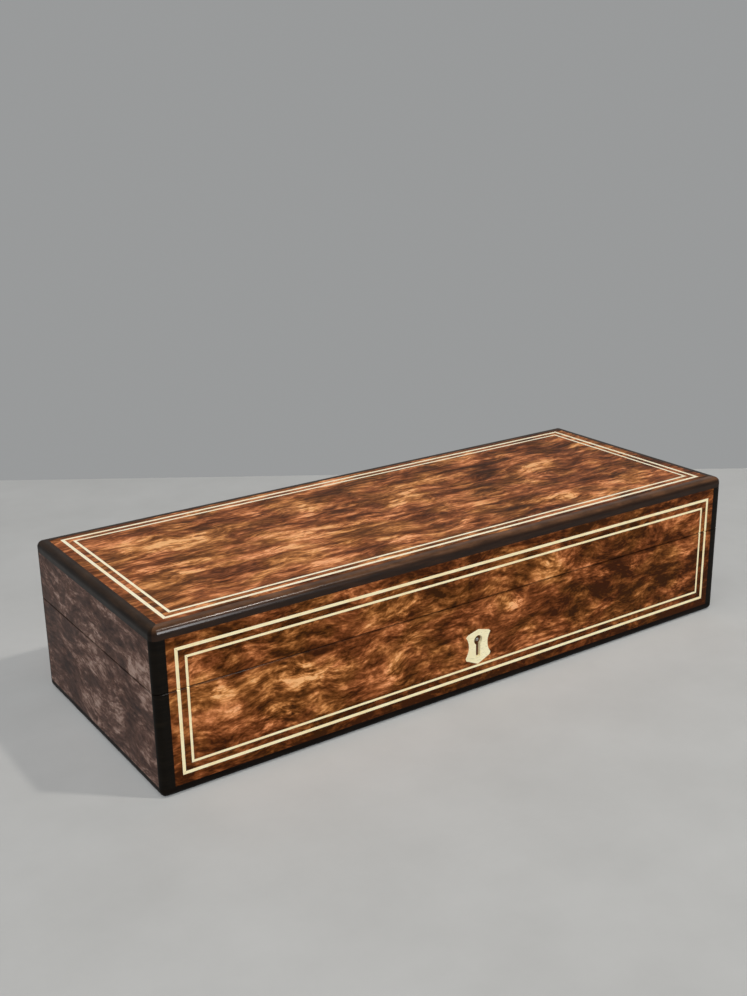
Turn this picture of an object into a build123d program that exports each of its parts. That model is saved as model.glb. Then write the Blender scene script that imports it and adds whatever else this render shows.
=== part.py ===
"""A hinged, lockable glove box: a veneered wooden base and lid with brass lines.

The box stands on z = 0 with its front towards -Y and its length along X.
The origin is the centre of the face it rests on. All sizes are millimetres.
"""

import os
from math import radians, tan

from build123d import *

os.makedirs("parts", exist_ok=True)

# --- Driving dimensions: the whole box -------------------------------------------------
LENGTH = 300.0
DEPTH = 116.0
HEIGHT = 69.0
JOINT_Z = 43.0  # the plane where the lid parts from the base
JOINT_GAP = 0.3  # the open line between the two rims

# --- Woodwork --------------------------------------------------------------------------
VENEER = 1.0
WALL = 9.0
BOTTOM_BOARD = 6.0
TOP_BOARD = 6.0
BAIZE = 0.8
EDGE_WIDTH = 4.5  # ebony edging along the top and the bottom
TOP_EDGE_HEIGHT = 4.7
FOOT_EDGE_HEIGHT = 4.0
EDGE_ROUND = 2.75
CORNER_ROUND = 2.8
RIM_EASE = 0.2  # the arris taken off both rims, all round the joint
POST_WIDTH = 5.5  # ebony corner strip, seen from the front
POST_DEPTH = 3.0  # the same strip, seen from the end

# --- Brass lines let into the veneer ---------------------------------------------------
LINE_DEPTH = 0.8
TOP_OUTER_LINE = 1.5
TOP_INNER_LINE = 1.2
FRONT_OUTER_LINE = 1.3
FRONT_INNER_LINE = 1.0
MITRE_GAP = 0.03
TOP_OUTER_INSET = (9.4, 7.8)  # from the end and from the front, to the line's centre
TOP_LINE_STEP = 3.9  # from the outer line's centre to the inner line's
FRONT_LINE_X = 140.5
FRONT_LINE_LOW = 8.4
FRONT_LINE_HIGH = 59.3
FRONT_LINE_STEP = 3.8

# --- Keyhole plate ---------------------------------------------------------------------
SHIELD_PEAK = 29.3
SHIELD_POINT = 12.9
SHIELD_THICK = 1.5
KEY_Z = 24.2  # height of the key's axis
EYE_RADIUS = 2.2
KEY_SLOT = 2.4
KEY_SLOT_LOW = 16.4

# --- Hinges ----------------------------------------------------------------------------
HINGE_X = 95.0
HINGE_LENGTH = 26.0
LEAF_THICK = 1.0
LEAF_REACH = 7.0
BARREL_RADIUS = 1.9
BARREL_CLEAR = 0.15
KNUCKLES = 5
KNUCKLE_GAP = 0.1
HINGE_PIN = 0.75
PIN_FIT = 0.05
OPEN_ANGLE = 95.0
HEEL_REACH = 2.8
HEEL_SLACK = 0.2  # degrees left between the two heels at full opening

# --- Screws ----------------------------------------------------------------------------
SCREW_HEAD = 1.6
SCREW_HEAD_THICK = 0.9
SCREW_TAPER = 41.0
SCREW_SHANK = 0.8
SCREW_LENGTH = 7.0
SCREW_SLOT = 0.45
SCREW_SLOT_DEPTH = 0.4
HINGE_SCREW_PITCH = 9.0
PLATE_SCREW_Z = 19.2

# --- Lock ------------------------------------------------------------------------------
PLATE_HALF = 22.0
PLATE_LOW = 12.5
PLATE_THICK = 1.2
CASE_HALF = 17.2
CASE_LOW = 14.5
LOCK_GAP = 4.6  # clear depth between the back plate and the cap
CAP_THICK = 0.8
PILLAR = 1.0
LOW_PILLARS = (12.0, 18.5)  # half their spacing, and their height
GUIDE_PILLARS_X = (-10.0, 8.0)  # these two also guide the bolt in its slots
DRILL_PIN = 0.9
DRILL_PIN_SHY = 0.6  # how far its tip stays behind the front face
BOLT_TRAVEL = 4.4
BOLT_SIDE_CLEAR = 0.2
GUIDE_CLEAR = 0.1
BOLT_NOTCH = 1.8  # how deep the key's notch goes into the bolt
BOLT_LEFT = -16.5
BOLT_RIGHT = 12.0
BOLT_LOW = 30.2
BOLT_HIGH = 35.2
FINGER_THICK = 1.6
FINGER_LOW = 37.6
FINGER_HIGH = 40.0
FINGER_REACH = 4.2
FINGER_POST = 2.5
STAPLE_X = 8.0
STAPLE_THICK = 2.0
STAPLE_WIDTH = 4.0
STAPLE_LOW = 36.2
STAPLE_EYE = (2.0, 3.0)
STAPLE_CLEAR = 0.3
STAPLE_SWING = 0.5  # room in front of a staple for the arc that it swings on
TIP_CLEAR = 0.8
SPRING_THICK = 0.4
SPRING_WIDTH = 2.0
SPRING_X = (-15.0, -5.0)
SPRING_RISE = 2.2
SPRING_FOOT = 1.6

# --- Linings ---------------------------------------------------------------------------
LINING = 1.2
FLOOR_PAD = 6.0
LID_PAD = 6.5
PAD_CLEAR = 0.3
LINING_LIP = 1.5  # bare wood left showing at each rim
LOCK_WINDOW_CLEAR = 0.5  # between the silk and the lock plate

# --- Places worked out from the driving dimensions -------------------------------------
SIDES = ("front", "back", "left", "right")
HALF_X = LENGTH / 2
HALF_Y = DEPTH / 2
CARCASE_X = HALF_X - VENEER
CARCASE_Y = HALF_Y - VENEER
INSIDE_X = CARCASE_X - WALL
INSIDE_Y = CARCASE_Y - WALL
BASE_TOP = JOINT_Z - JOINT_GAP / 2
LID_LOW = JOINT_Z + JOINT_GAP / 2
FLOOR_Z = BAIZE + BOTTOM_BOARD
CEILING_Z = HEIGHT - VENEER - TOP_BOARD
TOP_EDGE_Z = HEIGHT - TOP_EDGE_HEIGHT
AXIS_Y = HALF_Y + BARREL_RADIUS + BARREL_CLEAR
LOCK_BACK = -INSIDE_Y - PLATE_THICK  # where the back plate meets the bolt
LOCK_FRONT = LOCK_BACK - LOCK_GAP  # where the bolt meets the cap
LOCK_DEEP = LOCK_FRONT - CAP_THICK
LOCK_MID = (LOCK_BACK + LOCK_FRONT) / 2
SCREW_X = (PLATE_HALF + CASE_HALF) / 2
FRONT = Plane.XZ.offset(HALF_Y)  # the front face, looking at the box


def finish(piece, name):
    """Label a finished piece and write it as its own STEP file."""
    piece.part.label = name
    export_step(piece.part, f"parts/{name}.step")


def slab(low, high):
    """A rectangular piece between two opposite corners."""
    size = [high[i] - low[i] for i in range(3)]
    middle = [(high[i] + low[i]) / 2 for i in range(3)]
    with BuildPart() as piece:
        with Locations(tuple(middle)):
            Box(*size)
    return piece


def frame_side(side, half_u, half_v, width, gap=0.0):
    """The four corners of one mitred side of a rectangular frame."""
    inner_u = half_u - width
    inner_v = half_v - width
    if side in ("front", "back"):
        sign = -1 if side == "front" else 1
        outer = [(-half_u + gap, sign * half_v), (half_u - gap, sign * half_v)]
        return outer + [(inner_u - gap, sign * inner_v), (-inner_u + gap, sign * inner_v)]
    sign = -1 if side == "left" else 1
    outer = [(sign * half_u, -half_v + gap), (sign * half_u, half_v - gap)]
    return outer + [(sign * inner_u, inner_v - gap), (sign * inner_u, -inner_v + gap)]


def slotted_screws(planes):
    """Countersunk slotted screws, each flush with its plane and driven in behind it."""
    with BuildPart() as screws:
        with BuildSketch(*planes):
            Circle(SCREW_HEAD)
        extrude(amount=-SCREW_HEAD_THICK, taper=SCREW_TAPER)
        with BuildSketch(*planes):
            Circle(SCREW_SHANK)
        extrude(amount=-SCREW_LENGTH)
        with BuildSketch(*planes):
            Rectangle(2 * SCREW_HEAD, SCREW_SLOT)
        extrude(amount=-SCREW_SLOT_DEPTH, mode=Mode.SUBTRACT)
    return screws


def screw_holes(planes):
    """The countersunk holes that the same screws fill."""
    with BuildPart() as holes:
        with BuildSketch(*planes):
            Circle(SCREW_HEAD)
        extrude(amount=-SCREW_HEAD_THICK, taper=SCREW_TAPER)
        with BuildSketch(*planes):
            Circle(SCREW_SHANK)
        extrude(amount=-SCREW_LENGTH)
    return holes


# --- Where the screws go ---------------------------------------------------------------
def hinge_screw_planes(height, facing):
    """Three screws across each of the two hinges, on one rim."""
    reach = HALF_Y - LEAF_REACH / 2
    spots = [
        (hand * HINGE_X + step * HINGE_SCREW_PITCH, reach)
        for hand in (-1, 1)
        for step in (-1, 0, 1)
    ]
    return [Plane((x, y, height), x_dir=(1, 0, 0), z_dir=(0, 0, facing)) for x, y in spots]


base_hinge_planes = hinge_screw_planes(BASE_TOP, 1)
lid_hinge_planes = hinge_screw_planes(LID_LOW, -1)
rim_y = (LOCK_DEEP - INSIDE_Y) / 2
lock_planes = []
catch_planes = []
for x in (-SCREW_X, SCREW_X):
    lock_planes.append(Plane((x, rim_y, BASE_TOP), x_dir=(1, 0, 0), z_dir=(0, 0, 1)))
    lock_planes.append(Plane((x, -INSIDE_Y, PLATE_SCREW_Z), x_dir=(1, 0, 0), z_dir=(0, 1, 0)))
    catch_planes.append(Plane((x, rim_y, LID_LOW), x_dir=(1, 0, 0), z_dir=(0, 0, -1)))

base_hinge_screws = slotted_screws(base_hinge_planes)
finish(base_hinge_screws, "base_hinge_screws")
lid_hinge_screws = slotted_screws(lid_hinge_planes)
finish(lid_hinge_screws, "lid_hinge_screws")
lock_screws = slotted_screws(lock_planes)
finish(lock_screws, "lock_screws")
catch_screws = slotted_screws(catch_planes)
finish(catch_screws, "lid_catch_screws")


# --- Hollows cut in the woodwork for the fittings --------------------------------------
def hinge_recess(low, high):
    """The two shallow beds for a pair of hinge leaves."""
    with BuildPart() as recess:
        with Locations((-HINGE_X, HALF_Y, low), (HINGE_X, HALF_Y, low)):
            Box(HINGE_LENGTH, 2 * LEAF_REACH, high - low, align=(Align.CENTER, Align.CENTER, Align.MIN))
    return recess


base_hinge_recess = hinge_recess(BASE_TOP - LEAF_THICK, BASE_TOP)
lid_hinge_recess = hinge_recess(LID_LOW, LID_LOW + LEAF_THICK)

with BuildPart() as lock_recess:
    add(slab((-CASE_HALF, LOCK_DEEP, CASE_LOW), (CASE_HALF, -INSIDE_Y, BASE_TOP)).part)
    add(slab((-PLATE_HALF, LOCK_BACK, PLATE_LOW), (PLATE_HALF, -INSIDE_Y, BASE_TOP)).part)
    add(slab((-PLATE_HALF, LOCK_DEEP, BASE_TOP - PLATE_THICK), (PLATE_HALF, -INSIDE_Y, BASE_TOP)).part)

catch_bed = slab((-PLATE_HALF, LOCK_DEEP, LID_LOW), (PLATE_HALF, -INSIDE_Y, LID_LOW + PLATE_THICK))

# The shield outline: a low peak, hollowed sides and a pointed foot.
with BuildSketch(FRONT) as shield_outline:
    with BuildLine():
        Polyline((0, SHIELD_PEAK), (5.6, 27.8), (6.7, 26.8))
        ThreePointArc((6.7, 26.8), (5.1, 21.8), (6.9, 17.0))
        Polyline((6.9, 17.0), (6.4, 15.8), (0, SHIELD_POINT))
        mirror(about=Plane.YZ)
    make_face()

with BuildSketch(FRONT) as keyhole_outline:
    with Locations((0, KEY_Z)):
        Circle(EYE_RADIUS)
    with Locations((0, (KEY_Z + KEY_SLOT_LOW) / 2)):
        Rectangle(KEY_SLOT, KEY_Z - KEY_SLOT_LOW)

with BuildPart() as keyhole:
    add(keyhole_outline.sketch)
    extrude(amount=LOCK_DEEP - -HALF_Y, dir=(0, 1, 0))

with BuildPart() as shield_bed:
    add(shield_outline.sketch)
    extrude(amount=SHIELD_THICK, dir=(0, 1, 0))


# --- The eased arris round each rim ----------------------------------------------------
def rim_ease(rim, into):
    """What is planed off a rim's outer edge; into is 1 or -1, towards the rim's own side."""
    with BuildPart() as shaving:
        with BuildSketch(Plane.XY.offset(rim + into * RIM_EASE)):
            Rectangle(LENGTH + 2, DEPTH + 2)
        extrude(amount=-into * RIM_EASE)
        with BuildSketch(Plane.XY.offset(rim + into * RIM_EASE)):
            RectangleRounded(LENGTH, DEPTH, CORNER_ROUND)
        extrude(amount=-into * RIM_EASE, taper=45, mode=Mode.SUBTRACT)
    return shaving


base_rim_ease = rim_ease(BASE_TOP, -1)
lid_rim_ease = rim_ease(LID_LOW, 1)


# --- Ebony corner strips, edging and carcase -------------------------------------------
def corner_strips(low, high, ease):
    """Four upright strips, one at each corner, with the outer arris rounded."""
    with BuildPart() as strips:
        with BuildSketch(Plane.XY.offset(low)) as plan:
            with GridLocations(LENGTH - POST_WIDTH, DEPTH - POST_DEPTH, 2, 2):
                Rectangle(POST_WIDTH, POST_DEPTH)
            arrises = plan.vertices().filter_by(lambda v: abs(v.X) + abs(v.Y) > HALF_X + HALF_Y - 0.1)
            fillet(arrises, CORNER_ROUND)
        extrude(amount=high - low)
        add(ease.part, mode=Mode.SUBTRACT)
    return strips


base_corner_strips = corner_strips(FOOT_EDGE_HEIGHT, BASE_TOP, base_rim_ease)
finish(base_corner_strips, "base_corner_strips")
lid_corner_strips = corner_strips(LID_LOW, TOP_EDGE_Z, lid_rim_ease)
finish(lid_corner_strips, "lid_corner_strips")

with BuildPart() as corner_rebates:
    with BuildSketch(Plane.XY):
        with GridLocations(LENGTH - POST_WIDTH, DEPTH - POST_DEPTH, 2, 2):
            Rectangle(POST_WIDTH, POST_DEPTH)
    extrude(amount=HEIGHT)


def edging(side, low, height, rounded_end):
    """One mitred side of the rounded ebony edging that runs round the box."""
    with BuildPart() as ring:
        with BuildSketch(Plane.XY.offset(low)):
            Rectangle(LENGTH, DEPTH)
            Rectangle(LENGTH - 2 * EDGE_WIDTH, DEPTH - 2 * EDGE_WIDTH, mode=Mode.SUBTRACT)
        extrude(amount=height)
        uprights = ring.edges().filter_by(Axis.Z)
        fillet(uprights.filter_by(lambda e: abs(e.center().X) > HALF_X - 0.1), CORNER_ROUND)
        outline = ring.faces().sort_by(Axis.Z)[rounded_end].outer_wire()
        fillet(outline.edges(), EDGE_ROUND)
        with BuildSketch(Plane.XY.offset(low)):
            Polygon(*frame_side(side, HALF_X, HALF_Y, EDGE_WIDTH), align=None)
        extrude(amount=height, mode=Mode.INTERSECT)
    return ring


for side in SIDES:
    finish(edging(side, TOP_EDGE_Z, TOP_EDGE_HEIGHT, -1), f"lid_{side}_edging")
    finish(edging(side, 0, FOOT_EDGE_HEIGHT, 0), f"base_{side}_edging")


def wall(side, low, high, cutters=()):
    """One mitred carcase wall, rebated for the corner strips and cut for its fittings."""
    with BuildPart() as piece:
        with BuildSketch(Plane.XY.offset(low)):
            Polygon(*frame_side(side, CARCASE_X, CARCASE_Y, WALL), align=None)
        extrude(amount=high - low)
        add(corner_rebates.part, mode=Mode.SUBTRACT)
        for cutter in cutters:
            add(cutter.part, mode=Mode.SUBTRACT)
    return piece


base_fittings = {
    "front": (lock_recess, keyhole, shield_bed, screw_holes(lock_planes)),
    "back": (base_hinge_recess, screw_holes(base_hinge_planes)),
}
lid_fittings = {
    "front": (catch_bed, screw_holes(catch_planes)),
    "back": (lid_hinge_recess, screw_holes(lid_hinge_planes)),
}
for side in SIDES:
    finish(wall(side, FLOOR_Z, BASE_TOP, base_fittings.get(side, ())), f"base_{side}_wall")
    finish(wall(side, LID_LOW, CEILING_Z, lid_fittings.get(side, ())), f"lid_{side}_wall")


def board(low, high, seam, wide_below):
    """A carcase board whose outer edge is rebated, from its face to the seam, for the edging."""
    wide = (2 * CARCASE_X, 2 * CARCASE_Y)
    narrow = (LENGTH - 2 * EDGE_WIDTH, DEPTH - 2 * EDGE_WIDTH)
    with BuildPart() as piece:
        with BuildSketch(Plane.XY.offset(low)):
            Rectangle(*(wide if wide_below else narrow))
        extrude(amount=seam - low)
        with BuildSketch(Plane.XY.offset(seam)):
            Rectangle(*(narrow if wide_below else wide))
        extrude(amount=high - seam)
    return piece


with BuildPart() as bottom_board:
    add(board(BAIZE, FLOOR_Z, FOOT_EDGE_HEIGHT, wide_below=False).part)
    add(corner_rebates.part, mode=Mode.SUBTRACT)
finish(bottom_board, "base_bottom_board")

with BuildPart() as top_board:
    add(board(CEILING_Z, HEIGHT - VENEER, TOP_EDGE_Z, wide_below=True).part)
    with BuildSketch(Plane.XY.offset(CEILING_Z)):
        with GridLocations(LENGTH - POST_WIDTH, DEPTH - POST_DEPTH, 2, 2):
            Rectangle(POST_WIDTH, POST_DEPTH)
    extrude(amount=TOP_EDGE_Z - CEILING_Z, mode=Mode.SUBTRACT)
finish(top_board, "lid_top_board")

baize = slab(
    (-HALF_X + EDGE_WIDTH, -HALF_Y + EDGE_WIDTH, 0),
    (HALF_X - EDGE_WIDTH, HALF_Y - EDGE_WIDTH, BAIZE),
)
finish(baize, "base_baize")


# --- Brass lines -----------------------------------------------------------------------
def top_lines(inset_x, inset_y, width):
    """Four mitred strips that frame the top."""
    with BuildPart() as lines:
        with BuildSketch(Plane.XY.offset(HEIGHT)):
            for side in SIDES:
                outline = frame_side(
                    side,
                    HALF_X - inset_x + width / 2,
                    HALF_Y - inset_y + width / 2,
                    width,
                    MITRE_GAP,
                )
                Polygon(*outline, align=None)
        extrude(amount=-LINE_DEPTH)
    return lines


def front_lines(step, width, on_lid):
    """Three mitred strips: the lid's or the base's share of the frame on the front."""
    low = FRONT_LINE_LOW + step
    high = FRONT_LINE_HIGH - step
    middle = (low + high) / 2
    half_v = (high - low) / 2 + width / 2
    with BuildPart() as lines:
        with BuildSketch(FRONT):
            for side in ("left", "right", "back" if on_lid else "front"):
                outline = frame_side(side, FRONT_LINE_X - step + width / 2, half_v, width, MITRE_GAP)
                Polygon(*[(u, v + middle) for u, v in outline], align=None)
        extrude(amount=-LINE_DEPTH)
        if on_lid:
            split(bisect_by=Plane.XY.offset(LID_LOW), keep=Keep.TOP)
            add(lid_rim_ease.part, mode=Mode.SUBTRACT)
        else:
            split(bisect_by=Plane.XY.offset(BASE_TOP), keep=Keep.BOTTOM)
            add(base_rim_ease.part, mode=Mode.SUBTRACT)
    return lines


top_outer_lines = top_lines(*TOP_OUTER_INSET, TOP_OUTER_LINE)
finish(top_outer_lines, "lid_top_outer_lines")
top_inner_lines = top_lines(*[inset + TOP_LINE_STEP for inset in TOP_OUTER_INSET], TOP_INNER_LINE)
finish(top_inner_lines, "lid_top_inner_lines")

front_line_sets = {}
for owner in ("lid", "base"):
    outer = front_lines(0, FRONT_OUTER_LINE, owner == "lid")
    inner = front_lines(FRONT_LINE_STEP, FRONT_INNER_LINE, owner == "lid")
    finish(outer, f"{owner}_front_outer_lines")
    finish(inner, f"{owner}_front_inner_lines")
    front_line_sets[owner] = (outer, inner)

# --- Veneers ---------------------------------------------------------------------------
with BuildPart() as top_veneer:
    with BuildSketch(Plane.XY.offset(HEIGHT)):
        Rectangle(LENGTH - 2 * EDGE_WIDTH, DEPTH - 2 * EDGE_WIDTH)
    extrude(amount=-VENEER)
    add(top_outer_lines.part, mode=Mode.SUBTRACT)
    add(top_inner_lines.part, mode=Mode.SUBTRACT)
finish(top_veneer, "lid_top_veneer")


def veneer(side, low, high, cutters=()):
    """One upright sheet of veneer between the corner strips."""
    reach_x = HALF_X - POST_WIDTH
    reach_y = HALF_Y - POST_DEPTH
    spans = {
        "front": ((-reach_x, -HALF_Y), (reach_x, -CARCASE_Y)),
        "back": ((-reach_x, CARCASE_Y), (reach_x, HALF_Y)),
        "left": ((-HALF_X, -reach_y), (-CARCASE_X, reach_y)),
        "right": ((CARCASE_X, -reach_y), (HALF_X, reach_y)),
    }
    near, far = spans[side]
    with BuildPart() as piece:
        add(slab((*near, low), (*far, high)).part)
        for cutter in cutters:
            add(cutter.part, mode=Mode.SUBTRACT)
    return piece


base_veneer_cutters = {
    "front": (*front_line_sets["base"], shield_bed),
    "back": (base_hinge_recess,),
}
lid_veneer_cutters = {
    "front": front_line_sets["lid"],
    "back": (lid_hinge_recess,),
}
for side in SIDES:
    base_cutters = (*base_veneer_cutters.get(side, ()), base_rim_ease)
    lid_cutters = (*lid_veneer_cutters.get(side, ()), lid_rim_ease)
    finish(veneer(side, FOOT_EDGE_HEIGHT, BASE_TOP, base_cutters), f"base_{side}_veneer")
    finish(veneer(side, LID_LOW, TOP_EDGE_Z, lid_cutters), f"lid_{side}_veneer")

# --- Keyhole plate ---------------------------------------------------------------------
with BuildPart() as keyhole_plate:
    add(shield_bed.part)
    add(keyhole.part, mode=Mode.SUBTRACT)
finish(keyhole_plate, "keyhole_plate")


# --- Hinges ----------------------------------------------------------------------------
def hinge_leaf(centre_x, on_lid):
    """A leaf with its knuckles, and behind them the bevelled heel that stops the lid."""
    up = 1 if on_lid else -1
    rim = LID_LOW if on_lid else BASE_TOP
    start = centre_x - HINGE_LENGTH / 2
    pitch = HINGE_LENGTH / KNUCKLES
    half_open = radians((OPEN_ANGLE + HEEL_SLACK) / 2)
    heel_rise = up * HEEL_REACH * tan(half_open)
    leaf_y = HALF_Y - LEAF_REACH
    leaf = [(leaf_y, rim), (AXIS_Y, rim), (AXIS_Y, rim + up * LEAF_THICK), (leaf_y, rim + up * LEAF_THICK)]
    heel = [(AXIS_Y, JOINT_Z), (AXIS_Y + HEEL_REACH, JOINT_Z + heel_rise), (AXIS_Y, JOINT_Z + heel_rise)]
    own_knuckles = range(1, KNUCKLES, 2) if on_lid else range(0, KNUCKLES, 2)
    with BuildPart() as piece:
        with BuildSketch(Plane.YZ.offset(start)):
            Polygon(*leaf, align=None)
            Polygon(*heel, align=None)
            with Locations((AXIS_Y, JOINT_Z)):
                Circle(BARREL_RADIUS)
        extrude(amount=HINGE_LENGTH)
        for knuckle in range(KNUCKLES):
            if knuckle not in own_knuckles:
                with BuildSketch(Plane.YZ.offset(start + knuckle * pitch - KNUCKLE_GAP)):
                    with Locations((AXIS_Y, JOINT_Z)):
                        Circle(BARREL_RADIUS + KNUCKLE_GAP)
                extrude(amount=pitch + 2 * KNUCKLE_GAP, mode=Mode.SUBTRACT)
        with BuildSketch(Plane.YZ.offset(start)):
            with Locations((AXIS_Y, JOINT_Z)):
                Circle(HINGE_PIN + (PIN_FIT if on_lid else 0))
        extrude(amount=HINGE_LENGTH, mode=Mode.SUBTRACT)
        add(screw_holes(lid_hinge_planes if on_lid else base_hinge_planes).part, mode=Mode.SUBTRACT)
    return piece


for hand, centre_x in (("left", -HINGE_X), ("right", HINGE_X)):
    finish(hinge_leaf(centre_x, on_lid=False), f"{hand}_hinge_base_leaf")
    finish(hinge_leaf(centre_x, on_lid=True), f"{hand}_hinge_lid_leaf")
    with BuildPart() as hinge_pin:
        with BuildSketch(Plane.YZ.offset(centre_x - HINGE_LENGTH / 2 - KNUCKLE_GAP)):
            with Locations((AXIS_Y, JOINT_Z)):
                Circle(HINGE_PIN)
        extrude(amount=HINGE_LENGTH + 2 * KNUCKLE_GAP)
        chamfer(hinge_pin.edges().filter_by(GeomType.CIRCLE), HINGE_PIN / 4)
    finish(hinge_pin, f"{hand}_hinge_pin")

# --- Lock ------------------------------------------------------------------------------
with BuildPart() as lock_plate:
    add(slab((-PLATE_HALF, LOCK_BACK, PLATE_LOW), (PLATE_HALF, -INSIDE_Y, BASE_TOP)).part)
    add(slab((-PLATE_HALF, LOCK_DEEP, BASE_TOP - PLATE_THICK), (PLATE_HALF, -INSIDE_Y, BASE_TOP)).part)
    slot_x = STAPLE_THICK / 2 + STAPLE_CLEAR
    slot_low = LOCK_MID - STAPLE_WIDTH / 2 - STAPLE_SWING
    slot_high = LOCK_MID + STAPLE_WIDTH / 2 + STAPLE_CLEAR
    for x in (-STAPLE_X, STAPLE_X):
        slot = slab((x - slot_x, slot_low, BASE_TOP - PLATE_THICK), (x + slot_x, slot_high, BASE_TOP))
        add(slot.part, mode=Mode.SUBTRACT)
    add(screw_holes(lock_planes).part, mode=Mode.SUBTRACT)
finish(lock_plate, "lock_plate")

cap_half = CASE_HALF - BOLT_SIDE_CLEAR
with BuildPart() as lock_cap:
    add(slab((-cap_half, LOCK_DEEP, CASE_LOW), (cap_half, LOCK_FRONT, BASE_TOP - PLATE_THICK)).part)
    with BuildSketch(Plane.XZ.offset(-LOCK_FRONT)):
        add(keyhole_outline.sketch_local)
    extrude(amount=CAP_THICK, mode=Mode.SUBTRACT)
finish(lock_cap, "lock_cap")

bolt_mid = (BOLT_LOW + BOLT_HIGH) / 2
low_x, low_z = LOW_PILLARS
pillar_spots = [(x, bolt_mid) for x in GUIDE_PILLARS_X] + [(-low_x, low_z), (low_x, low_z)]
with BuildPart() as lock_pillars:
    with BuildSketch(Plane.XZ.offset(-LOCK_BACK)):
        with Locations(*pillar_spots):
            Circle(PILLAR)
    extrude(amount=LOCK_GAP)
finish(lock_pillars, "lock_pillars")

with BuildPart() as drill_pin:
    with BuildSketch(Plane.XZ.offset(-LOCK_BACK)):
        with Locations((0, KEY_Z)):
            Circle(DRILL_PIN)
    extrude(amount=HALF_Y + LOCK_BACK - DRILL_PIN_SHY)
    fillet(drill_pin.faces().sort_by(Axis.Y)[0].edges(), DRILL_PIN / 2)
finish(drill_pin, "lock_drill_pin")

with BuildPart() as bolt:
    with BuildSketch(Plane.XZ.offset(-LOCK_BACK + BOLT_SIDE_CLEAR)):
        with Locations(((BOLT_LEFT + BOLT_RIGHT) / 2, bolt_mid)):
            Rectangle(BOLT_RIGHT - BOLT_LEFT, BOLT_HIGH - BOLT_LOW)
        guide_width = 2 * (PILLAR + GUIDE_CLEAR)
        with Locations(*[(x - BOLT_TRAVEL / 2, bolt_mid) for x in GUIDE_PILLARS_X]):
            SlotOverall(BOLT_TRAVEL + guide_width + 2 * GUIDE_CLEAR, guide_width, mode=Mode.SUBTRACT)
        with Locations((-BOLT_TRAVEL / 2, BOLT_LOW)):
            Rectangle(BOLT_TRAVEL, 2 * BOLT_NOTCH, mode=Mode.SUBTRACT)
    extrude(amount=LOCK_GAP - 2 * BOLT_SIDE_CLEAR)
    with BuildSketch(Plane.XZ.offset(-LOCK_MID - FINGER_THICK / 2)):
        for x in (-STAPLE_X, STAPLE_X):
            tip = x - STAPLE_THICK / 2 - TIP_CLEAR
            root = tip - FINGER_REACH
            post_left = root - FINGER_POST
            hook = [
                (post_left, BOLT_HIGH),
                (root, BOLT_HIGH),
                (root, FINGER_LOW),
                (tip, FINGER_LOW),
                (tip, FINGER_HIGH),
                (post_left, FINGER_HIGH),
            ]
            Polygon(*hook, align=None)
    extrude(amount=FINGER_THICK)
finish(bolt, "lock_bolt")

with BuildPart() as spring:
    left, right = SPRING_X
    crown = BOLT_LOW - BOLT_SIDE_CLEAR - SPRING_THICK / 2
    heel = crown - SPRING_RISE
    near = LOCK_MID - SPRING_WIDTH / 2
    with BuildSketch(Plane.XZ.offset(-near - SPRING_WIDTH)):
        with BuildLine():
            ThreePointArc((left, heel), ((left + right) / 2, crown), (right, heel))
        trace(line_width=SPRING_THICK)
    extrude(amount=SPRING_WIDTH)
    foot_low = (left - SPRING_FOOT / 2, near, heel - SPRING_FOOT)
    add(slab(foot_low, (left + SPRING_FOOT / 2, LOCK_BACK, heel + SPRING_THICK)).part)
finish(spring, "lock_spring")

# --- Catch plate and its staples in the lid --------------------------------------------
with BuildPart() as catch_plate:
    add(catch_bed.part)
    for x in (-STAPLE_X, STAPLE_X):
        half = STAPLE_THICK / 2
        near = LOCK_MID - STAPLE_WIDTH / 2
        staple = slab((x - half, near, STAPLE_LOW), (x + half, near + STAPLE_WIDTH, LID_LOW + half))
        add(staple.part)
        eye_low = (FINGER_LOW + FINGER_HIGH) / 2 - STAPLE_EYE[1] / 2
        eye_near = LOCK_MID - STAPLE_EYE[0] / 2
        eye = slab(
            (x - half, eye_near, eye_low),
            (x + half, eye_near + STAPLE_EYE[0], eye_low + STAPLE_EYE[1]),
        )
        add(eye.part, mode=Mode.SUBTRACT)
    add(screw_holes(catch_planes).part, mode=Mode.SUBTRACT)
finish(catch_plate, "lid_catch_plate")


# --- Silk linings ----------------------------------------------------------------------
def linings(low, high):
    """Four silk-covered card panels, butted at the corners."""
    with BuildPart() as panels:
        for sign in (-1, 1):
            long_y = sign * (INSIDE_Y - LINING / 2)
            short_x = sign * (INSIDE_X - LINING / 2)
            short_depth = 2 * (INSIDE_Y - LINING - MITRE_GAP)
            with Locations((0, long_y, (low + high) / 2)):
                Box(2 * INSIDE_X, LINING, high - low)
            with Locations((short_x, 0, (low + high) / 2)):
                Box(LINING, short_depth, high - low)
    return panels


with BuildPart() as base_linings:
    add(linings(FLOOR_Z, BASE_TOP - LINING_LIP).part)
    window_x = PLATE_HALF + LOCK_WINDOW_CLEAR
    window_low = (-window_x, -INSIDE_Y, PLATE_LOW - LOCK_WINDOW_CLEAR)
    lock_window = slab(window_low, (window_x, -INSIDE_Y + LINING, BASE_TOP))
    add(lock_window.part, mode=Mode.SUBTRACT)
finish(base_linings, "base_wall_linings")
lid_linings = linings(LID_LOW + LINING_LIP, CEILING_Z)
finish(lid_linings, "lid_wall_linings")

pad_x = INSIDE_X - LINING - PAD_CLEAR
pad_y = INSIDE_Y - LINING - PAD_CLEAR
floor_pad = slab((-pad_x, -pad_y, FLOOR_Z), (pad_x, pad_y, FLOOR_Z + FLOOR_PAD))
finish(floor_pad, "base_floor_pad")
lid_pad = slab((-pad_x, -pad_y, CEILING_Z - LID_PAD), (pad_x, pad_y, CEILING_Z))
finish(lid_pad, "lid_pad")
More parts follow.
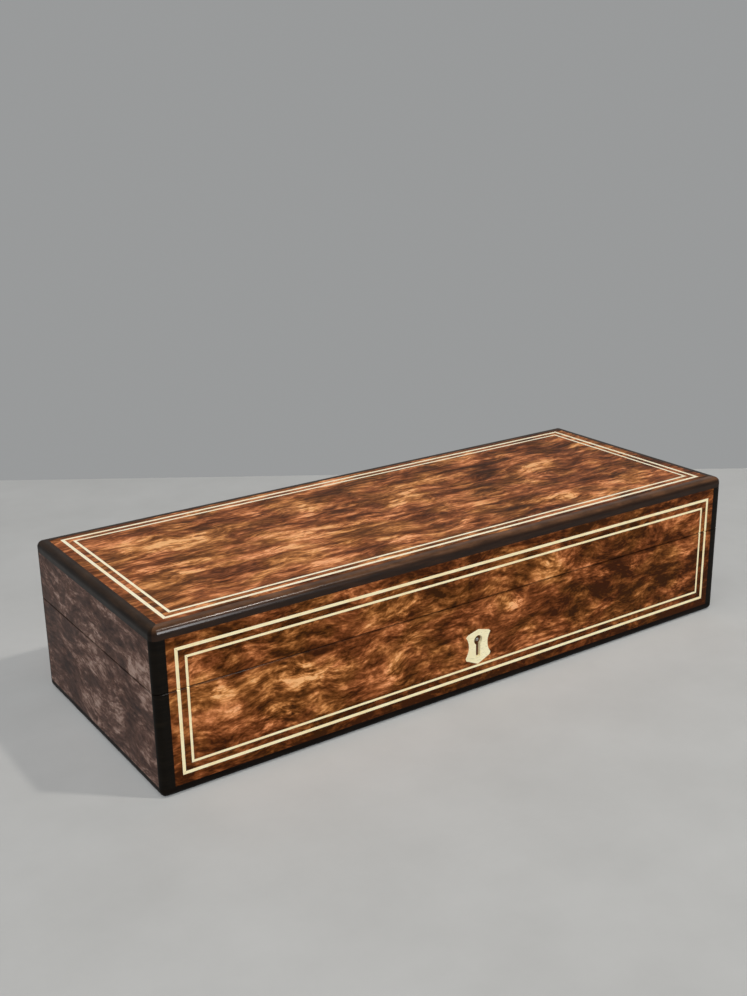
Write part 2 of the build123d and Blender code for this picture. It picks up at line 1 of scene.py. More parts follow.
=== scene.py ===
# %% [markdown]
# # A veneered glove box with brass lines
#
# The box comes from the CAD model as a fixed frame: every wall, strip, hinge and lock part is
# already there at its real size. In Blender we give each part its finish, sew the soft pads,
# light the box and place the camera. Everything is in metres, with the box standing on z = 0,
# its front towards -Y and its length along X.

# %% Load the frame
import math

import bmesh
import bpy
from mathutils import Euler, Matrix, Vector


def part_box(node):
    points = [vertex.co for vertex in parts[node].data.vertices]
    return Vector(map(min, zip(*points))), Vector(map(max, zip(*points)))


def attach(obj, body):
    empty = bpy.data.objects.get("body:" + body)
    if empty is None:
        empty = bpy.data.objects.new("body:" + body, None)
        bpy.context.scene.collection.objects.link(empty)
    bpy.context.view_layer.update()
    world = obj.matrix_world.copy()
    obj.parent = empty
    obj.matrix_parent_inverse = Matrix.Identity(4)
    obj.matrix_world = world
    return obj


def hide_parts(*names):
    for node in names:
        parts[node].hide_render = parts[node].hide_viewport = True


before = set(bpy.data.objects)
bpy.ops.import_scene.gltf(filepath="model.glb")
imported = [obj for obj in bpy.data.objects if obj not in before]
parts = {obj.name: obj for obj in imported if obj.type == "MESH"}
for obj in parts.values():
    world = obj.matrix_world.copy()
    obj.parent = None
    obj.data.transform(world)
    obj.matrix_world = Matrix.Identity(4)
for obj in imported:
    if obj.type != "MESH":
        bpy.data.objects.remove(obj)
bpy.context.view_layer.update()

MM = 0.001
front_low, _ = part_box("base_front_edging")
_, top_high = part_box("lid_top_veneer")
_, base_strips_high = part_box("base_corner_strips")
lid_strips_low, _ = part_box("lid_corner_strips")
length = 2 * base_strips_high.x
depth = -2 * front_low.y
height = top_high.z
joint_z = (base_strips_high.z + lid_strips_low.z) / 2
print(f"box {length:.3f} x {depth:.3f} x {height:.3f} m, lid parts from base at {joint_z:.4f}")

# %% [markdown]
# ## Camera
#
# A small object is shown best from a little above, turned so that the front, one end and the top
# all show. A normal lens a little over half a metre away keeps the perspective that a close look
# has: the near corner is clearly larger than the far one. The camera is turned by three plain
# angles instead of a "track to" constraint, so it can't drift.

# %% Place the camera
CAMERA_PLACE = Vector((-310.8, -439.1, 253.9)) * MM
CAMERA_HEADING = 34.06  # degrees round from straight at the front, towards the right
CAMERA_PITCH = 18.57  # degrees below level
CAMERA_ROLL = -0.94  # degrees
CAMERA_LENS = 45.17  # millimetres

camera_data = bpy.data.cameras.new("camera")
camera_data.lens = CAMERA_LENS
camera = bpy.data.objects.new("camera", camera_data)
bpy.context.scene.collection.objects.link(camera)
turn = Euler((math.radians(90 - CAMERA_PITCH), 0, math.radians(-CAMERA_HEADING))).to_matrix()
camera.matrix_world = (
    Matrix.Translation(CAMERA_PLACE)
    @ turn.to_4x4()
    @ Matrix.Rotation(math.radians(CAMERA_ROLL), 4, "Z")
)
bpy.context.scene.camera = camera
print("camera stands", round((CAMERA_PLACE - Vector((0, 0, height / 2))).length, 3), "m from the box")

# %% [markdown]
# ## Building materials from nodes
#
# Every finish below is a small tree of nodes. Two helpers keep the trees readable: one starts a
# material, the other adds a node and sets or links its sockets in a single line. Patterns read
# Object coordinates, which are the box's own metres, so the figure of the wood keeps its real
# scale and runs on from one part to the next.


# %% Helpers for node trees
def start_finish(name):
    """A new material; returns it with its tree and its main shader."""
    finish = bpy.data.materials.new(name)
    finish.use_nodes = True
    tree = finish.node_tree
    return finish, tree, tree.nodes["Principled BSDF"]


def put(tree, kind, sockets, **settings):
    """Add a node, set its options, and set or link its input sockets."""
    made = tree.nodes.new(kind)
    for key, value in settings.items():
        setattr(made, key, value)
    for socket, value in sockets.items():
        if isinstance(value, bpy.types.NodeSocket):
            tree.links.new(value, made.inputs[socket])
        else:
            made.inputs[socket].default_value = value
    return made


def maths(tree, operation, first, second=0.0, clamp=False):
    """One arithmetic step; returns its result socket."""
    made = put(tree, "ShaderNodeMath", {0: first, 1: second}, operation=operation, use_clamp=clamp)
    return made.outputs[0]


def ramp(tree, factor, stops):
    """A colour ramp with these (place, colour) stops; returns its colour socket."""
    made = put(tree, "ShaderNodeValToRGB", {"Fac": factor})
    elements = made.color_ramp.elements
    for element, (place, colour) in ((elements[0], stops[0]), (elements[-1], stops[-1])):
        element.position = place
        element.color = (*colour, 1)
    for place, colour in stops[1:-1]:
        elements.new(place).color = (*colour, 1)
    return made.outputs["Color"]


def fade(tree, value, low, high, start=0.0, end=1.0):
    """Map value from low..high to start..end with soft ends."""
    sockets = {"Value": value, "From Min": low, "From Max": high, "To Min": start, "To Max": end}
    return put(tree, "ShaderNodeMapRange", sockets, interpolation_type="SMOOTHSTEP").outputs[0]


def noise(tree, place, size, stretch=(1, 1, 1), detail=3.0, roughness=0.5, shift=(0, 0, 0)):
    """Noise whose lumps are about size millimetres, drawn out along each axis by stretch."""
    scale = [1 / (size * MM * s) for s in stretch]
    mapped = put(tree, "ShaderNodeMapping", {"Vector": place, "Scale": scale, "Location": shift})
    sockets = {"Vector": mapped.outputs[0], "Scale": 1.0, "Detail": detail, "Roughness": roughness}
    return put(tree, "ShaderNodeTexNoise", sockets)


# %% [markdown]
# ## The figured veneer
#
# The show faces are one thin sheet each of a dark, richly figured wood under French polish. The
# figure has three scales: broad golden flames where the fibres lean towards us, wavy streaks a
# millimetre or two wide inside them, and fine pores. One noise can't give all three, so several
# noises of falling size are stretched along the grain, and together they choose a colour on a ramp
# from dark brown to gold. The flames and dark patches that show most are listed one by one, as a veneer
# cutter would choose the part of the sheet to show.


# %% Flames placed on a sheet
def flames(tree, place, spots, upright):
    """Soft oval patches, light or dark, at listed places on an upright sheet or on the top."""
    total = 0.0
    for across, up, half_length, half_width, tilt, strength in spots:
        angle = math.radians(tilt)
        if upright:
            centre, turning = (across * MM, 0, up * MM), (0, angle, 0)
            spread = (1 / (half_length * MM), 0, 1 / (half_width * MM))
        else:
            centre, turning = (across * MM, up * MM, 0), (0, 0, -angle)
            spread = (1 / (half_length * MM), 1 / (half_width * MM), 0)
        moved = put(tree, "ShaderNodeVectorMath", {0: place, 1: centre}, operation="SUBTRACT")
        turned = put(tree, "ShaderNodeMapping", {"Vector": moved.outputs[0], "Rotation": turning})
        oval = put(tree, "ShaderNodeVectorMath", {0: turned.outputs[0], 1: spread}, operation="MULTIPLY")
        reach = put(tree, "ShaderNodeVectorMath", {0: oval.outputs[0]}, operation="LENGTH")
        patch = fade(tree, reach.outputs["Value"], 0.3, 1.3, strength, 0.0)
        total = maths(tree, "ADD", total, patch)
    return total


def warp(tree, place, size, stretch, amount, shift):
    """Push the place about by a soft noise, so that patterns on it bend; amount is millimetres."""
    push = noise(tree, place, size, stretch, 1.0, 0.5, shift).outputs["Color"]
    centred = put(tree, "ShaderNodeVectorMath", {0: push, 1: (0.5, 0.5, 0.5)}, operation="SUBTRACT")
    sockets = {0: centred.outputs[0], 1: (amount * MM,) * 3, 2: place}
    return put(tree, "ShaderNodeVectorMath", sockets, operation="MULTIPLY_ADD").outputs[0]


RED_FIGURE = [
    (0.0, (0.042, 0.010, 0.0018)),
    (0.15, (0.082, 0.0205, 0.0038)),
    (0.35, (0.155, 0.041, 0.0095)),
    (0.5, (0.25, 0.071, 0.020)),
    (0.65, (0.42, 0.133, 0.04)),
    (0.85, (0.72, 0.26, 0.098)),
    (1.0, (0.92, 0.41, 0.18)),
]
GOLD_FIGURE = [
    (0.0, (0.038, 0.011, 0.0016)),
    (0.15, (0.078, 0.023, 0.0032)),
    (0.35, (0.148, 0.045, 0.0085)),
    (0.5, (0.24, 0.08, 0.018)),
    (0.65, (0.41, 0.148, 0.038)),
    (0.85, (0.71, 0.295, 0.092)),
    (1.0, (0.92, 0.47, 0.19)),
]
# The ends' ramp is darker and greyer than the front's: partly a duller cut, partly painted shade and a
# painted grey sheen.
DULL_SHADED_FIGURE = [
    (0.0, (0.032, 0.014, 0.0105)),
    (0.35, (0.078, 0.036, 0.025)),
    (0.6, (0.135, 0.067, 0.048)),
    (0.8, (0.28, 0.165, 0.125)),
    (1.0, (0.46, 0.31, 0.25)),
]


def figured_veneer(name, spots=(), borders=(), upright=True, along="x", figures=(RED_FIGURE, GOLD_FIGURE),
                   long=2.2, vivid=1.0, lift=0.0, shift=0.0, polish=0.1):
    """French-polished figured veneer, its grain along x or y, with flames at the given spots."""
    finish, tree, shader = start_finish(name)
    place = put(tree, "ShaderNodeTexCoord", {}).outputs["Object"]
    offset = (shift, shift * 0.7, shift * 1.3)

    def grain(length):
        return (length, 1, 1) if along == "x" else (1, length, 1)

    def spread(value, weight):
        return fade(tree, value.outputs["Fac"], 0.31, 0.69, -weight * vivid, weight * vivid)

    bent = warp(tree, place, 20, grain(1.6), 12, offset)
    crumbled = warp(tree, bent, 6, grain(1.5), 2.4, offset)
    broad = spread(noise(tree, bent, 24, grain(1.8), 1.0, 0.5, offset), 0.15)
    mottle = spread(noise(tree, crumbled, 6.5, grain(long), 3.0, 0.62, offset), 0.25)
    streak = spread(noise(tree, crumbled, 2.4, grain(long * 1.4), 3.0, 0.62, offset), 0.19)
    fine = spread(noise(tree, crumbled, 0.9, grain(long * 1.2), 2.0, 0.6, offset), 0.11)
    detail = maths(tree, "ADD", streak, fine)
    tone = maths(tree, "ADD", maths(tree, "ADD", broad, 0.5 + lift), maths(tree, "ADD", mottle, detail))
    if spots:
        light = flames(tree, crumbled, [spot for spot in spots if spot[-1] > 0], upright)
        dark = flames(tree, crumbled, [spot for spot in spots if spot[-1] < 0], upright)
        livelier = maths(tree, "MULTIPLY", light, maths(tree, "ADD", detail, 0.25))
        tone = maths(tree, "ADD", tone, maths(tree, "MULTIPLY", livelier, 2.4))
        tone = maths(tree, "ADD", tone, dark)
    if borders:
        tone = maths(tree, "ADD", tone, flames(tree, place, borders, upright))
    hue = noise(tree, bent, 13, grain(1.5), 2.0, 0.5, offset[::-1]).outputs["Fac"]
    sockets = {
        "Factor": fade(tree, hue, 0.4, 0.65),
        "A": ramp(tree, tone, figures[0]),
        "B": ramp(tree, tone, figures[-1]),
    }
    colour = put(tree, "ShaderNodeMix", sockets, data_type="RGBA").outputs["Result"]
    pore = noise(tree, place, 0.4, grain(8), 2.0, 0.5, offset).outputs["Fac"]
    pore_dark = fade(tree, pore, 0.28, 0.42, 0.55, 1.0)
    sockets = {"Factor": 1.0, "A": colour, "B": pore_dark}
    dark = put(tree, "ShaderNodeMix", sockets, data_type="RGBA", blend_type="MULTIPLY")
    # Painted shade: the sheets are darkened in a narrow band along the joint between lid and base.
    if upright:
        up = put(tree, "ShaderNodeSeparateXYZ", {"Vector": place}).outputs["Z"]
        from_joint = maths(tree, "ABSOLUTE", maths(tree, "SUBTRACT", up, joint_z))
        joint_shade = fade(tree, from_joint, 0.25 * MM, 0.65 * MM, 0.42, 1.0)
        sockets = {"Factor": 1.0, "A": dark.outputs["Result"], "B": joint_shade}
        dark = put(tree, "ShaderNodeMix", sockets, data_type="RGBA", blend_type="MULTIPLY")
    tree.links.new(dark.outputs["Result"], shader.inputs["Base Color"])

    wear = noise(tree, place, 9, (1, 1, 1), 3.0, 0.6, offset).outputs["Fac"]
    tree.links.new(fade(tree, wear, 0.3, 0.8, 0.42, 0.56), shader.inputs["Roughness"])
    shader.inputs["Specular IOR Level"].default_value = 0.03
    shader.inputs["Specular Tint"].default_value = (1.0, 0.72, 0.5, 1)
    shader.inputs["Coat Weight"].default_value = polish
    shader.inputs["Coat Roughness"].default_value = 0.16
    surface = maths(tree, "ADD", wear, maths(tree, "MULTIPLY", pore_dark, 0.06))
    bump = put(tree, "ShaderNodeBump", {"Strength": 0.25, "Distance": 0.00012, "Height": surface})
    tree.links.new(bump.outputs[0], shader.inputs["Normal"])
    tree.links.new(bump.outputs[0], shader.inputs["Coat Normal"])
    return finish


# %% [markdown]
# ### Laying the veneers
#
# Each show face gets its own cut of the sheet. The flames are listed in millimetres, and a negative
# strength makes a dark patch. An end's ramp is duller and greyer: small light flecks, plus painted
# shade and a painted grey sheen. Painted shade darkens the upright sheets along the joint of lid and base.

# %% Lay the veneers
# Each spot is: place along X, place up the sheet, half length, half width, tilt, strength.
FRONT_FLAMES = [
    (-88, 34, 15, 7, -4, 0.27),
    (-76, 31, 9, 5, -10, 0.14),
    (-98, 20, 12, 5, 8, 0.3),
    (-106, 15, 6, 3, 0, 0.12),
    (-124, 37, 3.5, 3.5, 30, 0.4),
    (-116, 28, 3, 3, -30, 0.2),
    (-104, 29, 5, 4, 0, 0.1),
    (-130, 14, 11, 5, 0, -0.10),
    (-126, 48, 12, 5, 4, 0.1),
    (-96, 45, 26, 2.5, -4, -0.12),
    (-108, 52, 8, 3, 0, 0.08),
    (-74, 48, 8, 4, 0, -0.07),
    (-69, 18, 10, 6, 15, -0.09),
    (-66, 34, 5, 5, 10, 0.1),
    (-56, 42, 5, 3, 0, -0.09),
    (-46, 24, 8, 5, 10, 0.18),
    (-36, 48, 16, 4, 4, 0.16),
    (-34, 38, 8, 3, 0, 0.06),
    (-10, 45, 12, 3, 0, -0.06),
    (22, 38, 5, 3, 10, 0.42),
    (30, 28, 14, 4, 0, -0.05),
    (44, 49, 12, 5, 5, 0.16),
    (73, 37, 4, 2.5, 0, 0.24),
    (92, 38, 4.5, 3.2, 0, 0.36),
    (78, 22, 10, 4, 0, 0.1),
    (68, 30, 18, 4, 0, -0.10),
    (104, 28, 9, 6, 0, -0.07),
    (116, 47, 20, 3, 0, -0.10),
    (125, 21, 7, 6, 20, 0.2),
    (128, 36, 6, 4, 0, 0.16),
    (62, 45, 6, 3, 0, 0.08),
    (-20, 17, 40, 3, 0, -0.05),
    (150, 35, 150, 400, 0, -0.19),
    (20, 30, 60, 12, 0, -0.06),
]
TOP_FLAMES = [
    (-56, 29, 6, 4.5, 0, 0.42),
    (-37, 19, 4, 11, -18, 0.34),
    (-104, 18, 16, 6, 14, 0.26),
    (-116, 12, 7, 4, 0, 0.14),
    (-92, 24, 5, 6, -20, 0.12),
    (-118, -7, 18, 4, 0, 0.26),
    (-112, -15, 14, 3, -4, 0.22),
    (-70, -15, 13, 4, 0, 0.34),
    (-52, -3, 14, 6, 5, 0.24),
    (-30, -6, 20, 4, 12, 0.12),
    (-6, -9, 15, 5, 5, 0.2),
    (3, 4, 6, 5, 20, 0.42),
    (17, 13, 9, 6, 40, 0.24),
    (28, 22, 8, 5, 30, 0.1),
    (-26, -36, 13, 5, -12, 0.42),
    (-64, -38, 7, 4, 0, 0.3),
    (-100, -30, 26, 4, 0, 0.06),
    (92, 8, 14, 3, 12, 0.36),
    (78, -4, 24, 4, 12, 0.26),
    (66, -35, 16, 6, 5, 0.24),
    (112, -32, 22, 5, 3, 0.24),
    (14, -34, 16, 4, 5, 0.14),
    (-14, 34, 34, 11, -10, -0.2),
    (62, 18, 18, 12, 30, -0.17),
    (46, -14, 10, 14, 40, -0.15),
    (2, -28, 6, 14, -35, -0.09),
    (36, -34, 8, 14, -30, -0.15),
    (112, 34, 30, 11, 0, -0.12),
    (-130, 38, 10, 5, 0, -0.09),
    (-80, 36, 12, 5, 0, -0.05),
    (130, -14, 14, 6, 10, -0.07),
    (150, 0, 110, 400, 0, -0.06),
]
# The bands round the brass lines were cut from darker wood; these follow the lines.
FRONT_BORDERS = [
    (0, 5.2, 900, 4.0, 0, -0.36),
    (0, 10.4, 900, 3.0, 0, -0.16),
    (0, 57.4, 900, 2.6, 0, -0.1),
    (0, 62.6, 900, 3.0, 0, -0.12),
    (-138.6, 34, 2.6, 900, 0, -0.1),
    (138.6, 34, 2.6, 900, 0, -0.1),
]
TOP_BORDERS = [
    (0, -53.4, 900, 2.6, 0, -0.16),
    (0, 53.4, 900, 2.6, 0, -0.2),
    (-144, 0, 2.8, 900, 0, -0.12),
    (144, 0, 2.8, 900, 0, -0.12),
]
front_veneer = figured_veneer("front_veneer", FRONT_FLAMES, FRONT_BORDERS, lift=-0.05, polish=0.08)
top_veneer = figured_veneer(
    "top_veneer",
    TOP_FLAMES,
    TOP_BORDERS,
    upright=False,
    long=3.4,
    lift=0.015,
    shift=3.1,
    polish=0.15,
)
end_veneer = figured_veneer(
    "end_veneer",
    along="y",
    figures=(DULL_SHADED_FIGURE,),
    long=2.4,
    vivid=1.05,
    lift=-0.04,
    shift=7.7,
    polish=0.2,
)
back_veneer = figured_veneer("back_veneer", lift=-0.02, shift=12.4)


def dress(names, finish):
    """Give every named part one finish."""
    for name in names:
        part = parts[name]
        part.data.materials.clear()
        part.data.materials.append(finish)
    print(finish.name, "on", len(names), "parts")


dress(["lid_front_veneer", "base_front_veneer"], front_veneer)
dress(["lid_top_veneer"], top_veneer)
dress([f"{owner}_{end}_veneer" for owner in ("lid", "base") for end in ("left", "right")], end_veneer)
dress(["lid_back_veneer", "base_back_veneer"], back_veneer)

# %% [markdown]
# ## Ebony edging
#
# Ebony is nearly black but never a flat black: fine brown streaks run in it. Its upward faces take a
# lighter, browner tone than the upright ones: painted light and painted reflection from above, broken
# by patchy wear. One function mixes the two tones by the way the surface faces. The front top edging
# keeps the most polish, and the foot is nearly matt. At this darkness a grain that is stretched the
# same way everywhere is enough.


# %% Ebony
def ebony(name, polish, side_tone, top_tone):
    """French-polished ebony with brown streaks; its upward faces take a lighter tone, painted light broken
    by wear.
    """
    finish, tree, shader = start_finish(name)
    coordinates = put(tree, "ShaderNodeTexCoord", {})
    place = coordinates.outputs["Object"]
    wear = noise(tree, place, 7, (2, 2, 1), 4.0, 0.65).outputs["Fac"]
    facing = put(tree, "ShaderNodeSeparateXYZ", {"Vector": coordinates.outputs["Normal"]})
    # Painted light: faces that look up get the lighter top tone, broken by the wear noise.
    above = fade(tree, facing.outputs["Z"], 0.35, 0.95)
    lit_and_worn = maths(tree, "MULTIPLY", above, fade(tree, wear, 0.3, 0.7, 0.55, 1.0))
    sockets = {"Factor": lit_and_worn, "A": (*side_tone, 1), "B": (*top_tone, 1)}
    tone = put(tree, "ShaderNodeMix", sockets, data_type="RGBA").outputs["Result"]
    streak = noise(tree, place, 1.6, (9, 9, 1), 4.0, 0.6).outputs["Fac"]
    stops = [(0.3, (0.45, 0.42, 0.4)), (0.55, (1.0, 1.0, 1.0)), (0.75, (1.8, 1.7, 1.6))]
    streaked = ramp(tree, streak, stops)
    sockets = {"Factor": 1.0, "A": tone, "B": streaked}
    colour = put(tree, "ShaderNodeMix", sockets, data_type="RGBA", blend_type="MULTIPLY")
    tree.links.new(colour.outputs["Result"], shader.inputs["Base Color"])
    tree.links.new(fade(tree, wear, 0.35, 0.7, 0.3, 0.42), shader.inputs["Roughness"])
    shader.inputs["Specular IOR Level"].default_value = 0.03
    shader.inputs["Coat Weight"].default_value = polish
    shader.inputs["Coat Roughness"].default_value = 0.19
    bump = put(tree, "ShaderNodeBump", {"Strength": 0.2, "Distance": 0.0001, "Height": wear})
    tree.links.new(bump.outputs[0], shader.inputs["Normal"])
    return finish


end_ebony = ebony("end_ebony", 0.25, (0.010, 0.006, 0.004), (0.035, 0.019, 0.010))
# The foot's tones are darker still: painted shade of the contact shadow at the floor.
foot_ebony = ebony("foot_ebony", 0.02, (0.006, 0.004, 0.003), (0.01, 0.006, 0.004))
# The front edging's tones are lighter: painted light and a painted highlight along its rounded arris.
arris_ebony = ebony("arris_ebony", 0.45, (0.019, 0.0072, 0.0024), (0.125, 0.056, 0.025))
# The corner strips' tones are the darkest: painted dark reflection.
corner_ebony = ebony("corner_ebony", 0.12, (0.005, 0.0035, 0.002), (0.006, 0.004, 0.003))
dress(["lid_back_edging", "lid_left_edging", "lid_right_edging"], end_ebony)
dress(["lid_front_edging"], arris_ebony)
dress([name for name in parts if name.startswith("base") and name.endswith("_edging")], foot_ebony)
dress(["lid_corner_strips", "base_corner_strips"], corner_ebony)

# %% [markdown]
# ## Brass
#
# The lines were scraped flush with the veneer along their length, so they are satin, not mirror
# bright, and pale where the polish has taken off the tarnish. The fittings inside are a yellower
# cast brass. All of them are one function, with a roughness that a fine noise breaks up. The pale
# lines are only slightly metallic in the shader, since a full metal would mostly show the grey room.


# %% Brass finishes
def brass(name, colour, tarnish, metal, rough):
    """Brass with a fine scraped surface and light tarnish in patches."""
    finish, tree, shader = start_finish(name)
    place = put(tree, "ShaderNodeTexCoord", {}).outputs["Object"]
    patch = noise(tree, place, 6, (1, 1, 1), 4.0, 0.6).outputs["Fac"]
    stops = [(0.3, tarnish), (0.62, colour)]
    tree.links.new(ramp(tree, patch, stops), shader.inputs["Base Color"])
    shader.inputs["Metallic"].default_value = metal
    scratch = noise(tree, place, 0.35, (8, 8, 1), 2.0, 0.5).outputs["Fac"]
    tree.links.new(fade(tree, scratch, 0.3, 0.7, rough - 0.06, rough + 0.08), shader.inputs["Roughness"])
    bump = put(tree, "ShaderNodeBump", {"Strength": 0.15, "Distance": 0.00005, "Height": scratch})
    tree.links.new(bump.outputs[0], shader.inputs["Normal"])
    return finish


front_line_brass = brass("line_brass", (1.0, 0.88, 0.55), (0.98, 0.77, 0.41), 0.15, 0.36)
# The lines on the top are a paler, less metallic copy: painted reflection of the brighter light they catch.
top_line_brass_painted_sheen = brass("top_line_brass_painted_sheen", (1.0, 0.91, 0.66), (1.0, 0.83, 0.54), 0.05, 0.36)
plate_brass = brass("plate_brass", (1.0, 0.90, 0.58), (0.92, 0.80, 0.46), 0.2, 0.32)
fitting_brass = brass("fitting_brass", (0.78, 0.58, 0.27), (0.55, 0.38, 0.16), 1.0, 0.3)
front_lines = [name for name in parts if name.endswith("_lines") and "_front_" in name]
dress(front_lines, front_line_brass)
dress(["lid_top_outer_lines", "lid_top_inner_lines"], top_line_brass_painted_sheen)
dress(["keyhole_plate"], plate_brass)
fittings = [name for name in parts if name.endswith(("_leaf", "_screws"))]
dress([*fittings, "lock_plate", "lock_cap", "lock_pillars", "lock_bolt", "lid_catch_plate"], fitting_brass)

# %% [markdown]
# ## Steel
#
# The hinge pins, the drill pin and the leaf spring are drawn steel. It is a full metal, and grey
# patches on it are rougher than the bright ones.


# %% Steel for the pins and the spring
def steel():
    """Bright drawn steel, a little grey with age."""
    finish, tree, shader = start_finish("steel")
    place = put(tree, "ShaderNodeTexCoord", {}).outputs["Object"]
    patch = noise(tree, place, 2, (1, 1, 1), 3.0, 0.6).outputs["Fac"]
    stops = [(0.3, (0.22, 0.2, 0.18)), (0.7, (0.5, 0.5, 0.5))]
    tree.links.new(ramp(tree, patch, stops), shader.inputs["Base Color"])
    shader.inputs["Metallic"].default_value = 1.0
    tree.links.new(fade(tree, patch, 0.3, 0.7, 0.45, 0.25), shader.inputs["Roughness"])
    return finish


dress(["left_hinge_pin", "right_hinge_pin", "lock_drill_pin", "lock_spring"], steel())

# %% [markdown]
# ## The carcase
#
# Inside, the box is plain mahogany: straight grain, short pores and a thin wax finish. Two noises
# drawn out fourteen times along the grain give the stripes and the pores. The end walls run the
# other way, so they have a second copy of the finish with its grain along Y.


# %% Carcase wood
def carcase_wood(name, along):
    """Straight-grained waxed mahogany, its grain along x or y."""
    finish, tree, shader = start_finish(name)
    place = put(tree, "ShaderNodeTexCoord", {}).outputs["Object"]
    drawn_out = (14, 1, 1) if along == "x" else (1, 14, 1)
    grain = noise(tree, place, 2.2, drawn_out, 4.0, 0.6).outputs["Fac"]
    pore = noise(tree, place, 0.35, drawn_out, 2.0, 0.5).outputs["Fac"]
    stops = [(0.25, (0.10, 0.034, 0.014)), (0.5, (0.19, 0.07, 0.028)), (0.75, (0.29, 0.12, 0.052))]
    colour = ramp(tree, grain, stops)
    pore_dark = fade(tree, pore, 0.3, 0.42, 0.6, 1.0)
    sockets = {"Factor": 1.0, "A": colour, "B": pore_dark}
    dark = put(tree, "ShaderNodeMix", sockets, data_type="RGBA", blend_type="MULTIPLY")
    tree.links.new(dark.outputs["Result"], shader.inputs["Base Color"])
    tree.links.new(fade(tree, grain, 0.3, 0.7, 0.55, 0.42), shader.inputs["Roughness"])
    bump = put(tree, "ShaderNodeBump", {"Strength": 0.3, "Distance": 0.0001, "Height": pore_dark})
    tree.links.new(bump.outputs[0], shader.inputs["Normal"])
    return finish


end_walls = [name for name in parts if name.endswith(("left_wall", "right_wall"))]
long_wood = [name for name in parts if name.endswith(("_wall", "_board")) and name not in end_walls]
dress(long_wood, carcase_wood("long_mahogany", "x"))
dress(end_walls, carcase_wood("end_mahogany", "y"))

# %% [markdown]
# ## Cloth finishes
#
# The wool baize under the foot is a matt felt. The lining is silk satin, whose long floats give a
# soft sheen across the weave. A fine wave in the bump stands for the threads, and a broad noise
# clouds the colour a little, as handled silk is.


# %% Baize and silk
def baize():
    """Green felted wool."""
    finish, tree, shader = start_finish("baize")
    place = put(tree, "ShaderNodeTexCoord", {}).outputs["Object"]
    felt = noise(tree, place, 0.6, (1, 1, 1), 5.0, 0.7).outputs["Fac"]
    stops = [(0.3, (0.012, 0.045, 0.02)), (0.7, (0.035, 0.11, 0.055))]
    tree.links.new(ramp(tree, felt, stops), shader.inputs["Base Color"])
    shader.inputs["Roughness"].default_value = 0.95
    shader.inputs["Sheen Weight"].default_value = 0.3
    bump = put(tree, "ShaderNodeBump", {"Strength": 0.6, "Distance": 0.0003, "Height": felt})
    tree.links.new(bump.outputs[0], shader.inputs["Normal"])
    return finish


def silk():
    """Claret silk satin with a fine weave."""
    finish, tree, shader = start_finish("silk")
    place = put(tree, "ShaderNodeTexCoord", {}).outputs["Object"]
    slub = noise(tree, place, 0.7, (12, 1, 1), 3.0, 0.6).outputs["Fac"]
    cloud = noise(tree, place, 30, (1, 1, 1), 3.0, 0.5).outputs["Fac"]
    shade = maths(tree, "ADD", fade(tree, slub, 0.3, 0.7, 0.0, 0.35), fade(tree, cloud, 0.3, 0.7, 0.0, 0.5))
    stops = [(0.0, (0.12, 0.008, 0.014)), (0.5, (0.24, 0.018, 0.03)), (1.0, (0.36, 0.035, 0.05))]
    tree.links.new(ramp(tree, shade, stops), shader.inputs["Base Color"])
    shader.inputs["Roughness"].default_value = 0.42
    shader.inputs["Sheen Weight"].default_value = 0.15
    shader.inputs["Anisotropic"].default_value = 0.5
    sockets = {"Vector": place, "Scale": 900.0, "Distortion": 0.6, "Detail": 1.0}
    thread = put(tree, "ShaderNodeTexWave", sockets, bands_direction="X").outputs["Fac"]
    bump = put(tree, "ShaderNodeBump", {"Strength": 0.12, "Distance": 0.00005, "Height": thread})
    tree.links.new(bump.outputs[0], shader.inputs["Normal"])
    return finish


silk_finish = silk()
baize_finish = baize()
print("cloth finishes:", silk_finish.name, "and", baize_finish.name)

# %% [markdown]
# ## Silk on the walls
#
# The walls are lined with thin card wrapped in silk, so each panel's edges are softly rounded, and
# the panels only just meet in the corners. A panel starts as one flat face with its real outline,
# is given its thickness by extruding, and has all its edges bevelled. The front panel of the base
# has a window cut in it for the lock. Flat faces stay flat: an edge sharper than 28 degrees is
# marked, so that smooth shading doesn't smear across a panel.


# %% Lining panels
PANEL_THICK = 1.15 * MM
PANEL_GAP = 0.05 * MM
PANEL_CORNER_ROOM = 1.3 * MM
PANEL_ROUND = 0.4 * MM
LOCK_CLEARANCE = 0.5 * MM
SHARPEST_SMOOTH = math.radians(28)

lock_low, lock_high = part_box("lock_plate")
LOCK_WINDOW = lock_high.x + LOCK_CLEARANCE
LOCK_SILL = lock_low.z - LOCK_CLEARANCE


def add_piece(name, shape, body, finish):
    """Turn a bmesh into a finished piece that rides on a body."""
    bmesh.ops.recalc_face_normals(shape, faces=shape.faces)
    mesh = bpy.data.meshes.new(name)
    shape.to_mesh(mesh)
    shape.free()
    piece = bpy.data.objects.new(name, mesh)
    bpy.context.scene.collection.objects.link(piece)
    mesh.materials.append(finish)
    mesh.shade_smooth()
    mesh.set_sharp_from_angle(angle=SHARPEST_SMOOTH)
    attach(piece, body)
    return piece


